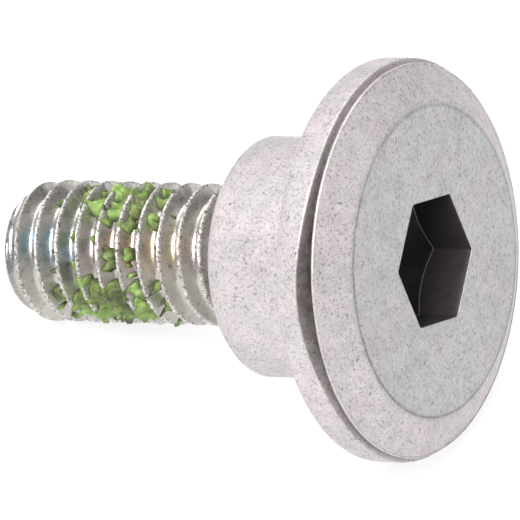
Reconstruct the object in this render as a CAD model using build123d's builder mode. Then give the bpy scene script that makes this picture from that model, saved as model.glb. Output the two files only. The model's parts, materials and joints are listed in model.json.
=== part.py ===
from build123d import *

import math
import os

# A shoulder bolt: a flanged head with a bevelled front and a hexagon socket, a plain
# cylindrical shoulder, a relief and an M6 thread.  It is built upright, with its axis along
# Z and its head on top, and then laid on its side as it comes to rest: on the rim of the
# head and on the last full crest of the thread.

# ---- Driving sizes, in millimetres and degrees ----

HEAD_DIAMETER = 16.6        # over the rim
HEAD_HEIGHT = 2.7           # from the bearing face to the front face
RIM_ROUNDING = 0.4          # back edge of the rim
GROOVE_WIDTH = 0.42         # groove that parts the rim from the bevel
GROOVE_DEPTH = 0.22
LIP_STEP = 0.18             # the bevel's edge stands this far inside the rim
BEVEL_WIDTH = 1.7           # radial width of the bevelled front edge
BEVEL_ANGLE = 29            # slope of the bevel from the front face

SOCKET_WIDTH = 5.08         # across flats, for a 5 mm key
SOCKET_DEPTH = 1.85         # straight walls, measured at the corners
SOCKET_POINT_ANGLE = 118    # cone left by the pilot drill
SOCKET_EDGE = 0.06          # broken edge at the mouth
SOCKET_TURN = 4.6           # one corner's angle about the axis from straight up

SHOULDER_DIAMETER = 9.95    # 10 mm nominal, less running clearance
SHOULDER_LENGTH = 5.35      # from the bearing face to the shoulder's end
SHOULDER_FILLET = 0.2       # inside corner under the head
SHOULDER_CHAMFER = 0.25     # outer edge at the thread end

THREAD_DIAMETER = 5.9       # M6 over the crests, with its 6g allowance
THREAD_PITCH = 1.0
THREAD_LENGTH = 11.4        # from the shoulder's end to the tip
FLANK_ANGLE = 30            # each flank from the radial direction, ISO metric
NECK_DIAMETER = 4.4         # plain relief between shoulder and thread, below the roots
NECK_LENGTH = 1.3
TIP_LENGTH = 0.85           # tapered lead at the tip
TIP_ANGLE = 30              # slope of that lead from the axis
CREST_OFFSET = 1.23         # shoulder's end to the first crest, along the underside
CUTTER_OVERRUN = 0.05       # how far the thread cutter stands out of the crests
OUTLINE_CLEARANCE = 0.3     # the same for the outline that the stud is turned to

# ---- Radii, and levels along the axis with the bearing face at 0 ----

head_radius = HEAD_DIAMETER / 2
lip_radius = head_radius - LIP_STEP
face_radius = lip_radius - BEVEL_WIDTH
shoulder_radius = SHOULDER_DIAMETER / 2
thread_radius = THREAD_DIAMETER / 2
neck_radius = NECK_DIAMETER / 2

lip_level = HEAD_HEIGHT - BEVEL_WIDTH * math.tan(math.radians(BEVEL_ANGLE))
rim_level = lip_level - GROOVE_WIDTH
shoulder_end = -SHOULDER_LENGTH
neck_end = shoulder_end - NECK_LENGTH
tip_level = shoulder_end - THREAD_LENGTH
lead_level = tip_level + TIP_LENGTH

# ISO metric thread form, from the pitch.
sharp_height = THREAD_PITCH * math.sqrt(3) / 2
minor_radius = thread_radius - sharp_height * 17 / 24
crest_width = THREAD_PITCH / 8
lead_slope = math.tan(math.radians(TIP_ANGLE))

# Levels of the crests along the underside, from the shoulder to the tip.
crest_count = math.floor((THREAD_LENGTH - CREST_OFFSET) / THREAD_PITCH) + 1
crest_levels = [shoulder_end - CREST_OFFSET - turn * THREAD_PITCH for turn in range(crest_count)]


def crest_radius(level):
    """Radius of a crest at a level, less what the tapered lead takes off it."""
    into_lead = max(0.0, lead_level - level)
    return thread_radius - into_lead * lead_slope


# ---- Hexagon socket ----
# A drilled hole with a conical end, broached to six flats.  The walls end on the cone,
# deeper in the middle of a flat than in a corner.

corner_radius = SOCKET_WIDTH / 2 / math.cos(math.radians(30))
cone_slope = 1 / math.tan(math.radians(SOCKET_POINT_ANGLE / 2))
cone_level = HEAD_HEIGHT - SOCKET_DEPTH - corner_radius * cone_slope

with BuildPart() as socket:
    with BuildSketch(Plane.XY.offset(cone_level)):
        RegularPolygon(corner_radius, 6, rotation=SOCKET_TURN)
    extrude(amount=HEAD_HEIGHT - cone_level)
    with BuildSketch(Plane.XZ):
        with BuildLine():
            Polyline(
                (0, cone_level),
                (SOCKET_WIDTH, cone_level + SOCKET_WIDTH * cone_slope),
                (SOCKET_WIDTH, HEAD_HEIGHT),
                (0, HEAD_HEIGHT),
                close=True,
            )
        make_face()
    revolve(axis=Axis.Z, mode=Mode.INTERSECT)

# ---- One turn of the thread groove ----
# Straight flanks and a narrow flat root.  The turn starts straight above the axis once the
# bolt is laid down.  A groove there is level with a crest on the underside, half a turn round.

first_turn = crest_levels[-1] - THREAD_PITCH * 2
turn_count = math.ceil(THREAD_LENGTH / THREAD_PITCH) + 4
mouth_radius = thread_radius + CUTTER_OVERRUN
flank_slope = math.tan(math.radians(FLANK_ANGLE))
mouth_half = (THREAD_PITCH - crest_width) / 2 + CUTTER_OVERRUN * flank_slope
root_half = mouth_half - (mouth_radius - minor_radius) * flank_slope

with BuildPart() as groove_turn:
    with BuildLine() as turn_path:
        Helix(THREAD_PITCH, THREAD_PITCH, minor_radius, center=(0, 0, first_turn))
    with BuildSketch(Plane.XZ):
        with BuildLine():
            Polyline(
                (minor_radius, first_turn - root_half),
                (minor_radius, first_turn + root_half),
                (mouth_radius, first_turn + mouth_half),
                (mouth_radius, first_turn - mouth_half),
                close=True,
            )
        make_face()
    sweep(path=turn_path.line, is_frenet=True)

# ---- Threaded stud ----
# A plain rod is grooved turn by turn from one end to the other.  It is then turned down to
# the relief at the shoulder and the tapered lead at the tip.

clear_radius = thread_radius + OUTLINE_CLEARANCE

with BuildPart() as stud:
    with BuildSketch(Plane.XY.offset(tip_level)):
        Circle(thread_radius)
    extrude(amount=THREAD_LENGTH)
    with Locations(*[(0, 0, turn * THREAD_PITCH) for turn in range(turn_count)]):
        add(groove_turn.part, mode=Mode.SUBTRACT)
    with BuildSketch(Plane.XZ):
        with BuildLine():
            Polyline(
                (0, shoulder_end),
                (neck_radius, shoulder_end),
                (neck_radius, neck_end + thread_radius - neck_radius),
                (clear_radius, neck_end - OUTLINE_CLEARANCE),
                (clear_radius, lead_level + OUTLINE_CLEARANCE / lead_slope),
                (crest_radius(tip_level), tip_level),
                (0, tip_level),
                close=True,
            )
        make_face()
    revolve(axis=Axis.Z, mode=Mode.INTERSECT)

# ---- The bolt upright, one turned piece ----

with BuildPart() as upright_bolt:
    with BuildSketch(Plane.XZ):
        with BuildLine():
            Polyline(
                (0, HEAD_HEIGHT),
                (face_radius, HEAD_HEIGHT),
                (lip_radius, lip_level),
                (lip_radius - GROOVE_DEPTH, lip_level - GROOVE_WIDTH / 2),
                (head_radius, rim_level),
                (head_radius, 0),
                (shoulder_radius, 0),
                (shoulder_radius, shoulder_end),
                (0, shoulder_end),
                close=True,
            )
        make_face()
    revolve(axis=Axis.Z)

    bearing_edges = upright_bolt.edges().filter_by_position(Axis.Z, 0, 0).sort_by(SortBy.RADIUS)
    fillet(bearing_edges[-1], RIM_ROUNDING)
    fillet(bearing_edges[0], SHOULDER_FILLET)
    end_edges = upright_bolt.edges().filter_by_position(Axis.Z, shoulder_end, shoulder_end)
    chamfer(end_edges, SHOULDER_CHAMFER)

    add(socket.part, mode=Mode.SUBTRACT)
    front_face = upright_bolt.faces().sort_by(Axis.Z)[-1]
    chamfer(front_face.inner_wires().edges(), SOCKET_EDGE)

    add(stud.part)

# ---- Laid on its side ----
# A straight line along the underside is tangent to the rim's rounded back edge and touches
# the tip side of one crest.  The crest that it meets first gives the smallest lean.


def lean_onto(crest_level):
    """Angle between the axis and the table when the bolt rests on the crest at this level."""
    level = crest_level - crest_width / 2
    along = RIM_ROUNDING - level
    across = head_radius - RIM_ROUNDING - crest_radius(level)
    return math.atan2(across, along) + math.asin(RIM_ROUNDING / math.hypot(along, across))


lean = min(lean_onto(crest_level) for crest_level in crest_levels[-3:])
lying = Plane(
    origin=(0, 0, 0),
    x_dir=(-math.sin(lean), 0, math.cos(lean)),
    z_dir=(math.cos(lean), 0, math.sin(lean)),
)

with BuildPart(lying) as shoulder_bolt:
    add(upright_bolt.part)

shoulder_bolt.part.label = "shoulder_bolt"

os.makedirs("parts", exist_ok=True)
export_step(shoulder_bolt.part, "parts/shoulder_bolt.step")
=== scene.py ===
import json
import math

import bmesh
import bpy
import numpy as np
from mathutils import Matrix, Vector


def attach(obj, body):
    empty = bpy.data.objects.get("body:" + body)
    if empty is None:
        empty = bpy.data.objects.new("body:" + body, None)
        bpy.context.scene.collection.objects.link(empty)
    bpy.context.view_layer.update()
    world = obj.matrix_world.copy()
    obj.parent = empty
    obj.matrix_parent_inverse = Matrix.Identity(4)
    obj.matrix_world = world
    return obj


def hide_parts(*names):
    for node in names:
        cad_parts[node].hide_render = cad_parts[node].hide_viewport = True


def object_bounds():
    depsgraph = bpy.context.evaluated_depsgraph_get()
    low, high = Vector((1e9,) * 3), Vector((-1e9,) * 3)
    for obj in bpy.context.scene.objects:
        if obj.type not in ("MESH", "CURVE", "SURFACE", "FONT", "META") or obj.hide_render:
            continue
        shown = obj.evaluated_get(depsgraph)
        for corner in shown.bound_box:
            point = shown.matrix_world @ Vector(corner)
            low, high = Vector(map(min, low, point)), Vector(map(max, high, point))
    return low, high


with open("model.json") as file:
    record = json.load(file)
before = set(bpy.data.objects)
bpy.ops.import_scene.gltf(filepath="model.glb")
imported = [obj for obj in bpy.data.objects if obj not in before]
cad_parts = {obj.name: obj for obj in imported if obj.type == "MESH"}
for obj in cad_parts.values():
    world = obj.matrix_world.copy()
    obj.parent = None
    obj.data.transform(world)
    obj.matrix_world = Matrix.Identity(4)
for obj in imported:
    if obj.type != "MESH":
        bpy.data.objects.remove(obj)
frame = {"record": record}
cad_low, cad_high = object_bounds()

# The looks of a zinc-plated shoulder bolt.  Sizes are in millimetres and degrees in the
# bolt's own frame: z runs along its axis towards the head, with the bearing face at 0, and
# x points up when the bolt lies on its side.  Each mesh is made in that frame and then
# turned into the row frame.  Floor, lights and camera are placed in the row frame, in metres.

MM = 0.001

# ---- Sizes of the bolt ----

HEAD_RADIUS = 8.3
HEAD_HEIGHT = 2.7
RIM_ROUNDING = 0.4
LIP_RADIUS = 8.12            # outer edge of the bevel
LIP_LEVEL = 1.758
LIP_ROUNDING = 0.1
RIM_LEVEL = 1.338            # front edge of the rim, behind the groove
RIM_EDGE = 0.09              # rounding of that edge
GROOVE_DEPTH = 0.22
FACE_RADIUS = 6.42
SOCKET_WIDTH = 5.08          # across flats
SOCKET_TURN = 4.6            # one corner's angle about the axis
SOCKET_EDGE = 0.06
CORNER_SOFTENING = 0.025     # taken off the socket's corners
CONE_BOTTOM = -0.912         # level of the socket's deepest point
CONE_SLOPE = 0.6009
SHOULDER_RADIUS = 4.975
SHOULDER_END = -5.35
SHOULDER_FILLET = 0.2
SHOULDER_CHAMFER = 0.25
THREAD_RADIUS = 2.95
ROOT_RADIUS = 2.3366
NECK_RADIUS = 2.2
NECK_END = -6.65
PITCH = 1.0
TIP_LEVEL = -16.75
TIP_DISH = 0.05
TIP_EDGE = 0.6               # the rings of the tip's face start this far inside the crests
LEAD_LEVEL = -15.9           # the tapered lead runs from here to the tip
LEAD_SLOPE = math.tan(math.radians(30))
CREST_LEVEL = -15.58         # one crest on the underside, half a turn from straight up
CREST_HALF = 0.0625          # half the width of a crest
OUT_OF_REACH = 9             # a radius past every part of the stud

# ---- Wear and fine forms ----

COLUMNS = 288                # points round the axis
VIEW_SIDE = 54.5             # angle about the axis that faces the main view
GAPE_SIDE = 68               # where the groove behind the bevel opens widest
GAPE_SPREAD = 24
GAPE_DEPTH = 0.4
GAPE_WIDTH = 0.42
GROOVE_EASING = 0.08         # the groove is this much shallower elsewhere
RIM_RAISE = 0.15             # and the rim's front edge this much nearer to the bevel
WEAR = 0.006                 # depth of the slow unevenness of the turned surfaces
WEAR_LENGTH = 1.6
WEAR_RADIUS = 5
CREST_WANDER = 0.012         # how far a crest strays along the axis
CREST_SETBACK = 0.004
GROOVE_HOLLOW = 2.2          # 1 is a straight flank, more is a rounder root
NICK_DEPTH = 0.03
NICK_START = 0.3             # noise below this leaves no nick
SEAM_DEPTH = 0.03            # the fine seam that rolling leaves along a crest
SEAM_OFFSET = 0.006
SEAM_WIDTH = 0.02
WELD = 0.002                 # points of the stud nearer than this are one
DULL_FROM = 16.1             # depths between which the lead turns dull
DULL_FULL = 16.3

PATCH_LOW = -15.3
PATCH_HIGH = -8.1
PATCH_FADE_LOW = (-15.1, -14.6)
PATCH_FADE_HIGH = (-8.9, -8.2)
PATCH_SINK = 0.03            # the patch's edge dips this far under the metal
PATCH_SKIN = 0.1             # its thickness over a crest
PATCH_FILL = 0.6             # the share of a groove that it fills

# Where the patch lies: angle from the side in view, spread, level, spread, and how much.
PATCH_ZONES = (
    (-52, 34, -11.6, 2.5, 0.86),
    (62, 38, -12.1, 2.3, 1.35),
    (180, 60, -11.8, 2.2, 0.75),
)

# Edges bent by more than this many degrees stay crisp.
BODY_SHARP = 32
THREAD_SHARP = 50
PATCH_SHARP = 80


# ---- Numbers ----

def waves(seed, length, angle, level, count=28, radius=THREAD_RADIUS):
    """Smooth seeded noise round a turned surface, about -1 to 1, with waves of one length in mm."""
    rng = np.random.default_rng(seed)
    total = np.zeros(np.broadcast(angle, level).shape)
    for _ in range(count):
        heading = rng.uniform(0, math.pi)
        size = 2 * math.pi / length * rng.uniform(0.6, 1.4)
        around = round(size * radius * math.cos(heading))
        along = size * math.sin(heading)
        total += np.cos(around * angle + along * level + rng.uniform(0, 2 * math.pi))
    return total / math.sqrt(count) / 1.2


def hump(value, centre, width):
    """Bell curve, 1 at its centre."""
    return np.exp(-((value - centre) / width) ** 2)


def hump_round(angle, centre_deg, width_deg):
    """The same round the axis, by angle."""
    off = (np.degrees(angle) - centre_deg + 180) % 360 - 180
    return np.exp(-(off / width_deg) ** 2)


def smooth(value, low, high):
    """Smooth step from 0 at low to 1 at high."""
    t = np.clip((value - low) / (high - low), 0, 1)
    return t * t * (3 - 2 * t)


# ---- Mesh building ----

def bolt_matrix():
    """The bolt's own frame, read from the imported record's bearing face."""
    mounts = {m["name"]: m for m in frame["record"]["mounts"]}
    axis = -Vector(mounts["bearing_face"]["axis"]).normalized()
    up = Vector((-axis.z, 0, axis.x)).normalized()
    side = axis.cross(up)
    return Matrix((up, side, axis)).transposed().to_4x4()


BOLT = bolt_matrix()


def new_piece(name, points, faces, masks, material, sharp):
    """A piece from points in mm, with named masks from 0 to 1 for its material to read."""
    mesh = bpy.data.meshes.new(name)
    mesh.from_pydata((np.asarray(points) * MM).tolist(), [], faces)
    mesh.validate()
    for key, values in masks.items():
        layer = mesh.attributes.new(key, "FLOAT", "POINT")
        layer.data.foreach_set("value", np.asarray(values, dtype=np.float32))
    mesh.polygons.foreach_set("use_smooth", [True] * len(mesh.polygons))
    mesh.set_sharp_from_angle(angle=math.radians(sharp))
    mesh.materials.append(material)
    piece = bpy.data.objects.new(name, mesh)
    bpy.context.collection.objects.link(piece)
    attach(piece, "root")
    return piece


def ring_faces(rows, columns):
    """Quads between rows of points that close round the axis."""
    faces = []
    for i in range(rows - 1):
        a = i * columns
        for j in range(columns):
            k = (j + 1) % columns
            faces.append((a + j, a + k, a + columns + k, a + columns + j))
    return faces


def arc(centre_r, centre_z, radius, start, end, steps):
    """Points of an arc in the profile plane, by angle from the outward direction."""
    turn = np.radians(np.linspace(start, end, steps))
    return [(centre_r + radius * math.cos(t), centre_z + radius * math.sin(t)) for t in turn]


def run(a, b, steps):
    """Points of a straight run, ends included."""
    t = np.linspace(0, 1, steps)
    return [(a[0] + (b[0] - a[0]) * s, a[1] + (b[1] - a[1]) * s) for s in t]


def turned_points(radius, angle, level):
    """Points from radius, angle and level about the axis."""
    return np.stack([radius * np.cos(angle), radius * np.sin(angle), level], axis=-1)


# ---- Head, socket and shoulder ----

def bevel_outline():
    """Profile of the line round the front face, the bevel and its rounded outer edge."""
    slope = math.degrees(math.atan2(HEAD_HEIGHT - LIP_LEVEL, LIP_RADIUS - FACE_RADIUS))
    edge = LIP_ROUNDING
    points = run((FACE_RADIUS - 0.11, HEAD_HEIGHT), (FACE_RADIUS - 0.05, HEAD_HEIGHT - 0.035), 3)
    points += [(FACE_RADIUS + 0.01, HEAD_HEIGHT - 0.03)]
    points += run(
        (FACE_RADIUS + 0.07, HEAD_HEIGHT - 0.039),
        (LIP_RADIUS - edge * 0.8, LIP_LEVEL + edge * 0.44), 14,
    )
    return points + arc(LIP_RADIUS - edge, LIP_LEVEL - 0.02, edge, 90 - slope - 6, -20, 5)


def rim_outline():
    """Profile of the groove, the rim and the underside of the head."""
    points = [(LIP_RADIUS - GROOVE_DEPTH, LIP_LEVEL - 0.19)]
    points += [(LIP_RADIUS - GROOVE_DEPTH - 0.03, LIP_LEVEL - 0.25)]
    points += arc(HEAD_RADIUS - RIM_EDGE, RIM_LEVEL - RIM_EDGE, RIM_EDGE, 80, 0, 5)
    points += run((HEAD_RADIUS, RIM_LEVEL - 0.2), (HEAD_RADIUS, RIM_ROUNDING), 8)
    points += arc(HEAD_RADIUS - RIM_ROUNDING, RIM_ROUNDING, RIM_ROUNDING, -10, -90, 8)
    return points + run((HEAD_RADIUS - 0.6, 0), (SHOULDER_RADIUS + SHOULDER_FILLET, 0), 8)


def shoulder_outline():
    """Profile of the fillet, the shoulder, its chamfer and its end face, in to the neck."""
    foot = SHOULDER_END + SHOULDER_CHAMFER
    edge = SHOULDER_RADIUS - SHOULDER_CHAMFER
    fillet_centre = (SHOULDER_RADIUS + SHOULDER_FILLET, -SHOULDER_FILLET)
    points = arc(*fillet_centre, SHOULDER_FILLET, 100, 180, 5)
    points += run((SHOULDER_RADIUS, -SHOULDER_FILLET - 0.05), (SHOULDER_RADIUS, foot + 0.03), 24)
    points += run((SHOULDER_RADIUS - 0.02, foot - 0.02), (edge, SHOULDER_END), 4)
    return points + run((edge - 0.04, SHOULDER_END), (NECK_RADIUS, SHOULDER_END), 8)


def body_masks(points, cone_end, socket_end):
    """Masks from each point's order and place: painted shade in the socket and the groove, a darker
    ring round the face, and painted light below the face.
    """
    count = len(points)
    across = np.hypot(points[:, 0], points[:, 1])
    angle = np.arctan2(points[:, 1], points[:, 0])
    level = points[:, 2]
    order = np.arange(count)
    # Painted shade: the material paints these socket and cone rows near black.
    in_cone = (order < cone_end) | (order == count - 1)
    in_socket = (order < socket_end) | (order == count - 1)
    seam = (order >= cone_end - COLUMNS) & (order < cone_end)
    # Painted shade: the groove behind the bevel, strongest on the side where it gapes.
    groove = smooth(across, LIP_RADIUS - 0.9, LIP_RADIUS - 0.6) * (level < LIP_LEVEL - 0.04)
    groove = groove * (1 - smooth(across, HEAD_RADIUS - 0.12, HEAD_RADIUS - 0.01)) * (level > 0.9)
    side = 0.3 + 0.7 * hump_round(angle, GAPE_SIDE - 12, GAPE_SPREAD + 16)
    ring = hump(across, FACE_RADIUS - 0.02, 0.06) * (level > HEAD_HEIGHT - 0.2)
    ring = ring * (0.45 + 0.55 * hump_round(angle, VIEW_SIDE + 40, 80))
    return {
        "cone": in_cone.astype(float),
        "socket": in_socket.astype(float),
        "seam": seam.astype(float),
        "groove": groove * side,
        "ring": ring,
        # Painted light: everything below the front face, which the material paints paler and
        # rosier.
        "below_face_painted_light": 1 - smooth(level, LIP_LEVEL + 0.8, HEAD_HEIGHT - 0.03),
    }


def socket_wall(angle):
    """Distance from the axis to the hexagon's walls, with slightly softened corners."""
    off = (np.degrees(angle) - SOCKET_TURN) % 60 - 30
    wall = SOCKET_WIDTH / 2 / np.cos(np.radians(off))
    return np.minimum(wall, wall.max() - CORNER_SOFTENING)


def cone_rows(wall):
    """Rows of the socket's conical bottom, from near its point out to the walls."""
    shares = [*np.linspace(0.04, 0.95, 9), 0.985, 1.0]
    return [(wall * t, CONE_BOTTOM + wall * t * CONE_SLOPE) for t in shares]


def wall_rows(wall):
    """Rows of the socket's walls, whose feet are arcs on the cone."""
    foot = CONE_BOTTOM + wall * CONE_SLOPE
    top = HEAD_HEIGHT - SOCKET_EDGE
    return [(wall, foot + (top - foot) * t) for t in [0.012, 0.03, *np.linspace(0.12, 1, 8)]]


def face_rows(wall):
    """Rows of the front face, from the socket's broken edge to the line round the face."""
    broken = np.full(COLUMNS, HEAD_HEIGHT - SOCKET_EDGE * 0.35)
    flat = np.full(COLUMNS, HEAD_HEIGHT)
    inner = wall + SOCKET_EDGE * 1.1
    outer = FACE_RADIUS - 0.13
    rows = [(wall + SOCKET_EDGE * 0.35, broken)]
    return rows + [(inner + (outer - inner) * t, flat) for t in np.linspace(0, 1, 18)]


def outline_rows(angle):
    """Rows of the turned outside, with a groove that gapes on one side."""
    gape = hump_round(angle, GAPE_SIDE, GAPE_SPREAD)
    rows = []
    for r, z in bevel_outline() + rim_outline() + shoulder_outline():
        radius = np.full(COLUMNS, r)
        level = np.full(COLUMNS, z)
        if r < LIP_RADIUS and RIM_LEVEL < z < LIP_LEVEL - 0.1:
            radius -= GAPE_DEPTH * gape - GROOVE_EASING
        if r > LIP_RADIUS - 0.05 and RIM_LEVEL - 0.6 < z < LIP_LEVEL - 0.2:
            share = smooth(z, RIM_LEVEL - 0.5, RIM_LEVEL)
            level += share * (RIM_RAISE - GAPE_WIDTH * gape)
        rows.append((radius, level))
    return rows


def make_body(material):
    """Head, socket, shoulder and the shoulder's end face, as one skin round the axis."""
    angle = np.radians(SOCKET_TURN) + np.linspace(0, 2 * math.pi, COLUMNS, endpoint=False)
    wall = socket_wall(angle)
    cone = cone_rows(wall)
    socket = cone + wall_rows(wall)
    rows = socket + face_rows(wall) + outline_rows(angle)
    points = []
    for i, (radius, level) in enumerate(rows):
        if i > len(socket):
            ripple = waves(11, WEAR_LENGTH, angle, level, radius=WEAR_RADIUS)
            radius = radius - WEAR * (1 + ripple)
        points += turned_points(radius, angle, level).tolist()
    faces = ring_faces(len(rows), COLUMNS)
    apex = len(points)
    points.append((0, 0, CONE_BOTTOM))
    faces += [(apex, (j + 1) % COLUMNS, j) for j in range(COLUMNS)]
    faces = [tuple(reversed(face)) for face in faces]
    masks = body_masks(np.asarray(points), len(cone) * COLUMNS, len(socket) * COLUMNS)
    return new_piece(
        "head_and_shoulder", points, faces, masks, material, BODY_SHARP)


# ---- Thread ----

# Rows of one pitch, by offset from the crest and closest together on it.
CREST_STEPS = (
    -0.46, -0.4, -0.34, -0.28, -0.22, -0.17, -0.13, -0.105, -0.085, -0.066, -0.045, -0.022,
    0.0, 0.022, 0.045, 0.066, 0.085, 0.105, 0.13, 0.17, 0.22, 0.28, 0.34, 0.4,
)


def thread_form(off, angle, turns):
    """Radius of the rolled thread at an offset along the axis from its crest."""
    along = turns * PITCH
    wander = CREST_WANDER * waves(21, 0.9, angle, along)
    slack = np.clip((np.abs(off + wander) - CREST_HALF) / (PITCH / 2 - CREST_HALF), 0, 1)
    fall = 1 - (1 - slack) ** GROOVE_HOLLOW
    groove = THREAD_RADIUS - (THREAD_RADIUS - ROOT_RADIUS) * fall
    nick = NICK_DEPTH * np.clip(waves(22, 0.3, angle, along) - NICK_START, 0, 1)
    seam = SEAM_DEPTH * hump(off, SEAM_OFFSET, SEAM_WIDTH)
    return np.minimum(groove, THREAD_RADIUS - CREST_SETBACK - nick - seam)


def outline_radius(level):
    """The turned outline: relief, its runout into the thread, and the lead at the tip."""
    runout = NECK_END + THREAD_RADIUS - level
    front = np.where(level > NECK_END, np.maximum(NECK_RADIUS, runout), OUT_OF_REACH)
    lead = THREAD_RADIUS - (LEAD_LEVEL - level) * LEAD_SLOPE
    return np.minimum(front, np.where(level < LEAD_LEVEL, lead, OUT_OF_REACH))


def thread_grid(low, high):
    """Sheared grid whose rows follow the crests: angle, level, crest offset and turn number."""
    first = math.floor((low - CREST_LEVEL) / PITCH) - 1
    last = math.ceil((high - CREST_LEVEL) / PITCH) + 1
    turns = np.repeat(np.arange(first, last + 1), len(CREST_STEPS)).astype(float)
    off = np.tile(CREST_STEPS, last - first + 1)
    angle = np.linspace(0, 2 * math.pi, COLUMNS, endpoint=False)
    rise = PITCH * (angle / (2 * math.pi) - 0.5)
    level = (CREST_LEVEL + turns * PITCH + off)[:, None] + rise[None, :]
    shape = level.shape
    angle = np.broadcast_to(angle, shape)
    off = np.broadcast_to(off[:, None], shape)
    return angle, level, off, np.broadcast_to(turns[:, None], shape)


def sheared_faces(shape, keep):
    """Quads of a sheared grid.  Past the last column a row meets the next turn's row."""
    rows, columns = shape
    step = len(CREST_STEPS)
    index = np.arange(rows * columns).reshape(shape)
    right = np.full(shape, -1)
    right[:, :-1] = index[:, 1:]
    right[:-step, -1] = index[step:, 0]
    quads = np.stack([index[:-1], right[:-1], right[1:], index[1:]], axis=-1).reshape(-1, 4)
    quads = quads[(quads >= 0).all(axis=1)]
    return quads[keep.ravel()[quads].any(axis=1)]


def compact(points, quads, masks):
    """Drops the points that no quad uses, from the masks too."""
    used, inverse = np.unique(quads, return_inverse=True)
    faces = [tuple(quad) for quad in inverse.reshape(-1, 4).tolist()]
    return points[used], faces, {name: values[used] for name, values in masks.items()}


def make_thread(material):
    """The grooved stud, from the shoulder's end to the tip, with its flat end."""
    angle, level, off, turns = thread_grid(TIP_LEVEL, SHOULDER_END)
    inside = (level > TIP_LEVEL) & (level < SHOULDER_END)
    clamped = np.clip(level, TIP_LEVEL, SHOULDER_END)
    nearest = (off + (clamped - level) + PITCH / 2) % PITCH - PITCH / 2
    radius = np.minimum(thread_form(nearest, angle, turns), outline_radius(clamped))
    points = turned_points(radius, angle, clamped).reshape(-1, 3)
    # The crest mask also carries a painted highlight: the material paints the crests lighter.
    crest = smooth(radius, THREAD_RADIUS - 0.12, THREAD_RADIUS - 0.06)
    # Painted sheen: thin-film colours only in the grooves on the side that faces the main view.
    film_sheen_band = hump_round(angle, VIEW_SIDE - 4, 20) * smooth(THREAD_RADIUS - radius, 0.1, 0.4)
    in_neck = smooth(clamped, NECK_END - 0.1, NECK_END + 0.1)
    dull = np.clip(in_neck + smooth(-clamped, DULL_FROM, DULL_FULL), 0, 1)
    masks = {"crest": (crest * (1 - dull)).ravel(), "film_sheen_band": film_sheen_band.ravel(), "dull": dull.ravel()}
    points, faces, masks = compact(points, sheared_faces(level.shape, inside), masks)
    piece = new_piece("thread", points, faces, masks, material, THREAD_SHARP)
    close_tip(piece.data)
    return piece


def close_tip(mesh):
    """Merges the points that met at the two ends and closes the tip with a slightly dished face."""
    grid = bmesh.new()
    grid.from_mesh(mesh)
    bmesh.ops.remove_doubles(grid, verts=grid.verts[:], dist=WELD * MM)
    ring = [
        edge for edge in grid.edges
        if edge.is_boundary and max(v.co.z for v in edge.verts) < (TIP_LEVEL + 0.02) * MM
    ]
    for share in (0.93, 0.6, 0.25):
        made = bmesh.ops.extrude_edge_only(grid, edges=ring)["geom"]
        goal = share * (THREAD_RADIUS - TIP_EDGE) * MM
        for vert in (g for g in made if isinstance(g, bmesh.types.BMVert)):
            size = math.hypot(vert.co.x, vert.co.y)
            vert.co.x *= goal / size
            vert.co.y *= goal / size
            vert.co.z = (TIP_LEVEL + TIP_DISH * (1 - share)) * MM
        ring = [g for g in made if isinstance(g, bmesh.types.BMEdge)]
    bmesh.ops.contextual_create(grid, geom=ring)
    bmesh.ops.recalc_face_normals(grid, faces=grid.faces[:])
    for face in grid.faces:
        face.smooth = True
    grid.to_mesh(mesh)
    grid.free()
    mesh.set_sharp_from_angle(angle=math.radians(THREAD_SHARP))


# ---- Dried thread-locking patch ----

def patch_cover(angle, level, off):
    """How thickly the patch lies, from 0 where the metal is bare to 1 where it fills a groove."""
    coarse = waves(32, 1.1, angle, level)
    fine = waves(33, 0.5, angle, level)
    zones = sum(
        amount * hump_round(angle, VIEW_SIDE + side, spread) * hump(level, middle, reach)
        for side, spread, middle, reach, amount in PATCH_ZONES
    )
    groove = smooth(np.abs(off), 0.08, 0.3)
    total = zones + 0.5 * coarse + 0.22 * fine + 0.38 * groove
    span = smooth(level, *PATCH_FADE_LOW) * (1 - smooth(level, *PATCH_FADE_HIGH))
    return smooth(total * span, 0.8, 1.08)


def make_patch(material):
    """Blobs and streaks of dried green compound in the grooves and over the crests."""
    angle, level, off, turns = thread_grid(PATCH_LOW, PATCH_HIGH)
    metal = np.minimum(thread_form(off, angle, turns), outline_radius(level))
    cover = patch_cover(angle, level, off)
    room = np.clip(THREAD_RADIUS - PATCH_SKIN - metal, 0, 1)
    lumps = 0.05 * waves(34, 0.5, angle, level) + 0.03 * waves(35, 0.28, angle, level)
    radius = metal - PATCH_SINK + cover * (PATCH_SKIN + PATCH_FILL * room + lumps)
    points = turned_points(radius, angle, level).reshape(-1, 3)
    quads = sheared_faces(level.shape, cover > 0.02)
    points, faces, masks = compact(points, quads, {"cover": cover.ravel()})
    return new_piece("locking_patch", points, faces, masks, material, PATCH_SHARP)


# ---- Materials ----

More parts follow.
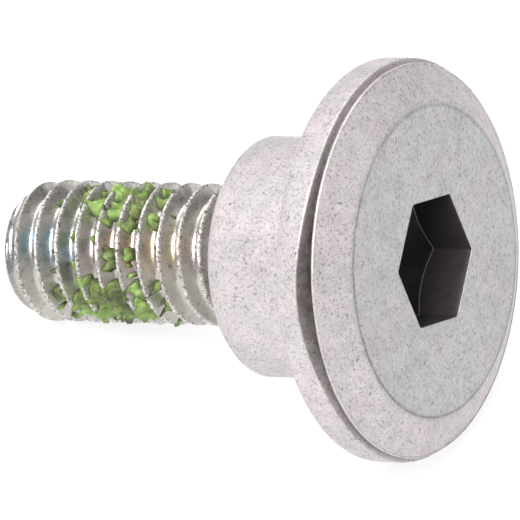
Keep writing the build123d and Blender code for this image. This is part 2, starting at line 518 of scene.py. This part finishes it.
class Nodes:
    """Short calls for building a material's nodes."""

    def __init__(self, name):
        self.material = bpy.data.materials.new(name)
        self.material.use_nodes = True
        self.tree = self.material.node_tree
        self.shader = self.tree.nodes["Principled BSDF"]
        place = self.tree.nodes.new("ShaderNodeTexCoord")
        scale = self.tree.nodes.new("ShaderNodeMapping")
        scale.inputs["Scale"].default_value = (1 / MM, 1 / MM, 1 / MM)
        scale.inputs["Rotation"].default_value = BOLT.inverted().to_euler()
        self.link(place.outputs["Object"], scale.inputs["Vector"])
        self.place = scale.outputs["Vector"]

    def link(self, source, target):
        """Joins an output to an input."""
        self.tree.links.new(source, target)

    def noise(self, size, detail=3, rough=0.55):
        """Noise with features of a size in mm."""
        node = self.tree.nodes.new("ShaderNodeTexNoise")
        node.inputs["Scale"].default_value = 1 / size
        node.inputs["Detail"].default_value = detail
        node.inputs["Roughness"].default_value = rough
        self.link(self.place, node.inputs["Vector"])
        return node.outputs["Fac"]

    def mask(self, name):
        """A mask stored on the mesh."""
        node = self.tree.nodes.new("ShaderNodeAttribute")
        node.attribute_name = name
        return node.outputs["Fac"]

    def ramp(self, source, stops):
        """Colour ramp; a stop is a position and a grey or a colour."""
        node = self.tree.nodes.new("ShaderNodeValToRGB")
        marks = node.color_ramp.elements
        while len(marks) < len(stops):
            marks.new(0.5)
        for mark, (position, colour) in zip(marks, stops):
            mark.position = position
            if isinstance(colour, (int, float)):
                colour = (colour, colour, colour)
            mark.color = (*colour, 1)
        self.link(source, node.inputs["Fac"])
        return node.outputs["Color"]

    def math(self, operation, a, b):
        """A number worked out from two others."""
        node = self.tree.nodes.new("ShaderNodeMath")
        node.operation = operation
        for socket, value in zip(node.inputs, (a, b)):
            if isinstance(value, (int, float)):
                socket.default_value = value
            else:
                self.link(value, socket)
        return node.outputs["Value"]

    def times(self, a, b):
        """Two numbers multiplied."""
        return self.math("MULTIPLY", a, b)

    def mix(self, factor, a, b, blend="MIX"):
        """Two colours mixed."""
        node = self.tree.nodes.new("ShaderNodeMix")
        node.data_type = "RGBA"
        node.blend_type = blend
        for key, value in (("Factor_Float", factor), ("A_Color", a), ("B_Color", b)):
            socket = next(s for s in node.inputs if s.identifier == key)
            if isinstance(value, (int, float)):
                socket.default_value = value
            elif isinstance(value, tuple):
                socket.default_value = (*value, 1)
            else:
                self.link(value, socket)
        return next(s for s in node.outputs if s.identifier == "Result_Color")

    def bump(self, source, height, strength, before=None):
        """Raises the surface where the source is bright, by a height in mm."""
        node = self.tree.nodes.new("ShaderNodeBump")
        node.inputs["Distance"].default_value = height * MM
        node.inputs["Strength"].default_value = strength
        self.link(source, node.inputs["Height"])
        if before:
            self.link(before, node.inputs["Normal"])
        return node.outputs["Normal"]

    def level(self):
        """Level along the axis in mm."""
        node = self.tree.nodes.new("ShaderNodeSeparateXYZ")
        self.link(self.place, node.inputs["Vector"])
        return node.outputs["Z"]

    def finish(self, colour, rough, normal, metallic=0.0):
        """Joins what was built to the shader and gives the material."""
        self.link(colour, self.shader.inputs["Base Color"])
        self.link(rough, self.shader.inputs["Roughness"])
        self.link(normal, self.shader.inputs["Normal"])
        self.shader.inputs["Metallic"].default_value = metallic
        return self.material


def zinc_material():
    """Dull zinc plate: pale grey with a rose and green cast, fine grain, pits and dark specks;
    paler and rosier below the face as painted light, with painted shade in the groove and socket.
    """
    n = Nodes("zinc_plate")
    cast = n.ramp(n.noise(1.8, 3), [
        (0.34, (0.60, 0.625, 0.60)), (0.5, (0.615, 0.61, 0.605)), (0.66, (0.64, 0.595, 0.61)),
    ])
    # Painted light: the bevel, rim and shoulder are painted paler and rosier than the front face,
    # for the brighter light that falls on them.
    rose = n.ramp(n.noise(1.3, 3), [(0.35, (0.66, 0.645, 0.64)), (0.6, (0.72, 0.655, 0.665))])
    cast = n.mix(n.mask("below_face_painted_light"), cast, rose)
    grain = n.ramp(n.noise(0.11, 4, 0.75), [(0.36, 0.46), (0.46, 0.88), (0.7, 1.0)])
    blotch = n.ramp(n.noise(0.75, 3), [(0.35, 0.88), (0.6, 1.0)])
    colour = n.mix(1.0, cast, grain, "MULTIPLY")
    colour = n.mix(1.0, colour, blotch, "MULTIPLY")
    specks = n.ramp(n.noise(0.17, 2, 0.5), [(0.30, 1.0), (0.37, 0.0)])
    fewer = n.ramp(n.noise(0.9, 2), [(0.42, 0.15), (0.58, 1.0)])
    colour = n.mix(n.times(n.times(specks, fewer), 0.75), colour, (0.16, 0.16, 0.17))
    edge = n.ramp(n.noise(0.5, 3), [(0.3, 0.45), (0.6, 0.9)])
    colour = n.mix(n.times(n.mask("ring"), edge), colour, (0.15, 0.125, 0.115))
    # Painted shade: near-black brown in the groove behind the bevel, broken up by noise.
    groove_shade_breakup = n.ramp(n.noise(0.4, 3), [(0.25, 0.7), (0.6, 1.0)])
    colour = n.mix(n.times(n.mask("groove"), groove_shade_breakup), colour, (0.06, 0.042, 0.03))
    # Painted shade: the socket's walls near black and its conical bottom black.
    colour = n.mix(n.mask("socket"), colour, (0.05, 0.044, 0.044))
    colour = n.mix(n.mask("cone"), colour, (0.008, 0.007, 0.007))
    colour = n.mix(n.times(n.mask("seam"), 0.8), colour, (0.42, 0.38, 0.28))
    rough = n.ramp(n.noise(0.3, 3), [(0.3, 0.42), (0.7, 0.6)])
    normal = n.bump(n.noise(0.12, 4, 0.65), 0.02, 0.55)
    normal = n.bump(n.noise(0.8, 2), 0.04, 0.35, normal)
    return n.finish(colour, rough, normal, metallic=0.45)


def thread_material():
    """Rolled thread: shiny grooves with thin-film colours painted as a sheen on the side facing the
    main view, and rough pitted crests painted lighter as a painted highlight.
    """
    n = Nodes("rolled_thread")
    base = n.ramp(n.noise(1.5, 2), [(0.35, (0.50, 0.49, 0.45)), (0.65, (0.58, 0.56, 0.52))])
    span = n.math("DIVIDE", n.math("SUBTRACT", n.level(), TIP_LEVEL), NECK_END - TIP_LEVEL)
    film = n.ramp(span, [
        (0.05, (0.30, 0.50, 0.55)), (0.22, (0.30, 0.50, 0.62)), (0.34, (0.34, 0.50, 0.62)),
        (0.44, (0.60, 0.46, 0.42)), (0.58, (0.66, 0.44, 0.30)), (0.7, (0.72, 0.58, 0.34)),
        (0.85, (0.70, 0.62, 0.42)), (0.98, (0.62, 0.50, 0.58)),
    ])
    # Partly the film's own colours by level, partly painted sheen: shown only in the band facing
    # the main view.
    patchy = n.ramp(n.noise(0.7, 2), [(0.35, 0.25), (0.6, 1.0)])
    colour = n.mix(n.times(n.times(n.mask("film_sheen_band"), patchy), 0.8), base, film)
    # Partly real pits and rough finish, partly painted highlight: the crests are painted far
    # lighter than the grooves.
    crest = n.ramp(n.noise(0.11, 3, 0.7), [
        (0.38, (0.20, 0.18, 0.16)), (0.52, (0.72, 0.70, 0.68)), (0.7, (0.9, 0.88, 0.86)),
    ])
    colour = n.mix(n.mask("crest"), colour, crest)
    stain = n.ramp(n.noise(0.35, 3, 0.6), [(0.30, 1.0), (0.40, 0.0)])
    colour = n.mix(n.times(stain, 0.5), colour, (0.13, 0.12, 0.08))
    colour = n.mix(n.times(n.mask("dull"), 0.6), colour, (0.42, 0.41, 0.40))
    shine = n.ramp(n.noise(0.25, 3), [(0.3, 0.22), (0.7, 0.36)])
    rough = n.math("ADD", shine, n.times(n.mask("crest"), 0.2))
    normal = n.bump(n.noise(0.1, 4, 0.7), 0.02, 0.4)
    normal = n.bump(n.noise(0.5, 2), 0.03, 0.3, normal)
    return n.finish(colour, rough, normal, metallic=0.9)


def patch_material():
    """Dried green compound, bright where it is thick and olive where it thins out."""
    n = Nodes("green_compound")
    tone = n.ramp(n.noise(0.9, 3), [
        (0.34, (0.07, 0.085, 0.03)), (0.45, (0.14, 0.19, 0.055)), (0.55, (0.22, 0.34, 0.085)),
        (0.68, (0.30, 0.48, 0.13)),
    ])
    thin = n.ramp(n.mask("cover"), [(0.1, (0.05, 0.05, 0.02)), (0.8, (1.0, 1.0, 1.0))])
    colour = n.mix(1.0, tone, thin, "MULTIPLY")
    grain = n.ramp(n.noise(0.12, 3, 0.6), [(0.35, 0.72), (0.6, 1.0)])
    colour = n.mix(1.0, colour, grain, "MULTIPLY")
    rough = n.ramp(n.noise(0.3, 2), [(0.3, 0.38), (0.7, 0.62)])
    normal = n.bump(n.noise(0.22, 3, 0.6), 0.05, 0.5)
    return n.finish(colour, rough, normal)


# ---- Stage, light and camera ----

FLOOR_HALF = 4.0
FLOOR_GLOW = 0.82            # keeps the floor pale under the bolt
WORLD_STRENGTH = 0.2

# Soft lights aimed at the origin: name, place, size, power and colour.
LIGHTS = (
    ("key", (0.0, -0.275, 0.415), 0.26, 3.3, (1.0, 0.965, 0.985)),
    ("top", (-0.1, 0.25, 0.4), 0.3, 1.1, (1, 1, 1)),
    ("left", (-0.45, 0.0, 0.22), 0.35, 0.3, (1, 1, 1)),
    ("right", (0.4, 0.1, 0.25), 0.35, 0.2, (1, 1, 1)),
)

ELEVATION = 39.47
BEARING = 63.42              # of the view, from +X towards -Y
DISTANCE = 0.508
FRAME_WIDTH = 0.02126        # width seen at the middle of the front face
FACE_RIGHT = 0.00719         # the front face's centre stands this far right of the view's middle
FACE_DOWN = 0.00004
SENSOR = 36


def make_floor(level):
    """A wide pale floor that the bolt lies on."""
    n = Nodes("studio_floor")
    tone = n.ramp(n.noise(60, 2), [(0.3, 0.27), (0.7, 0.3)])
    n.link(tone, n.shader.inputs["Base Color"])
    n.shader.inputs["Roughness"].default_value = 0.9
    n.shader.inputs["Specular IOR Level"].default_value = 0.1
    n.shader.inputs["Emission Color"].default_value = (1, 1, 1, 1)
    n.shader.inputs["Emission Strength"].default_value = FLOOR_GLOW
    mesh = bpy.data.meshes.new("studio_floor")
    signs = ((-1, -1), (1, -1), (1, 1), (-1, 1))
    corners = [(x * FLOOR_HALF, y * FLOOR_HALF, level) for x, y in signs]
    mesh.from_pydata(corners, [], [(0, 1, 2, 3)])
    mesh.materials.append(n.material)
    floor = bpy.data.objects.new("studio_floor", mesh)
    bpy.context.collection.objects.link(floor)


def make_light(name, place, size, power, colour):
    """A square soft light aimed at the origin."""
    data = bpy.data.lights.new(name, "AREA")
    data.shape = "SQUARE"
    data.size = size
    data.energy = power
    data.color = colour
    lamp = bpy.data.objects.new(name, data)
    lamp.location = place
    lamp.rotation_mode = "QUATERNION"
    lamp.rotation_quaternion = (-Vector(place)).to_track_quat("-Z", "Y")
    bpy.context.collection.objects.link(lamp)


def make_world():
    """Even studio surroundings, a little rosy."""
    world = bpy.data.worlds.new("studio")
    world.use_nodes = True
    back = world.node_tree.nodes["Background"]
    back.inputs["Color"].default_value = (1.0, 0.985, 0.985, 1)
    back.inputs["Strength"].default_value = WORLD_STRENGTH
    bpy.context.scene.world = world


def make_camera():
    """The main view, from in front of the head and above."""
    e = math.radians(ELEVATION)
    b = math.radians(BEARING)
    towards = Vector((math.cos(e) * math.cos(b), -math.cos(e) * math.sin(b), math.sin(e)))
    right = Vector((math.sin(b), math.cos(b), 0))
    up = towards.cross(right)
    face = BOLT @ Vector((0, 0, HEAD_HEIGHT * MM))
    target = face - right * FACE_RIGHT + up * FACE_DOWN
    data = bpy.data.cameras.new("camera")
    data.sensor_width = SENSOR
    data.lens = SENSOR * DISTANCE / FRAME_WIDTH
    data.clip_start = 0.01
    data.clip_end = 20
    camera = bpy.data.objects.new("camera", data)
    camera.matrix_world = Matrix((right, up, towards)).transposed().to_4x4()
    camera.location = target + towards * DISTANCE
    bpy.context.collection.objects.link(camera)
    bpy.context.scene.camera = camera


def main():
    """Builds the pieces, turns them into the row frame and sets the studio round them."""
    bpy.context.scene.view_settings.view_transform = "Standard"
    body = make_body(zinc_material())
    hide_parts("shoulder_bolt")
    thread = make_thread(thread_material())
    patch = make_patch(patch_material())
    for piece in (body, thread, patch):
        piece.data.transform(BOLT)
    make_floor(cad_low.z)
    make_world()
    for light in LIGHTS:
        make_light(*light)
    make_camera()


main()
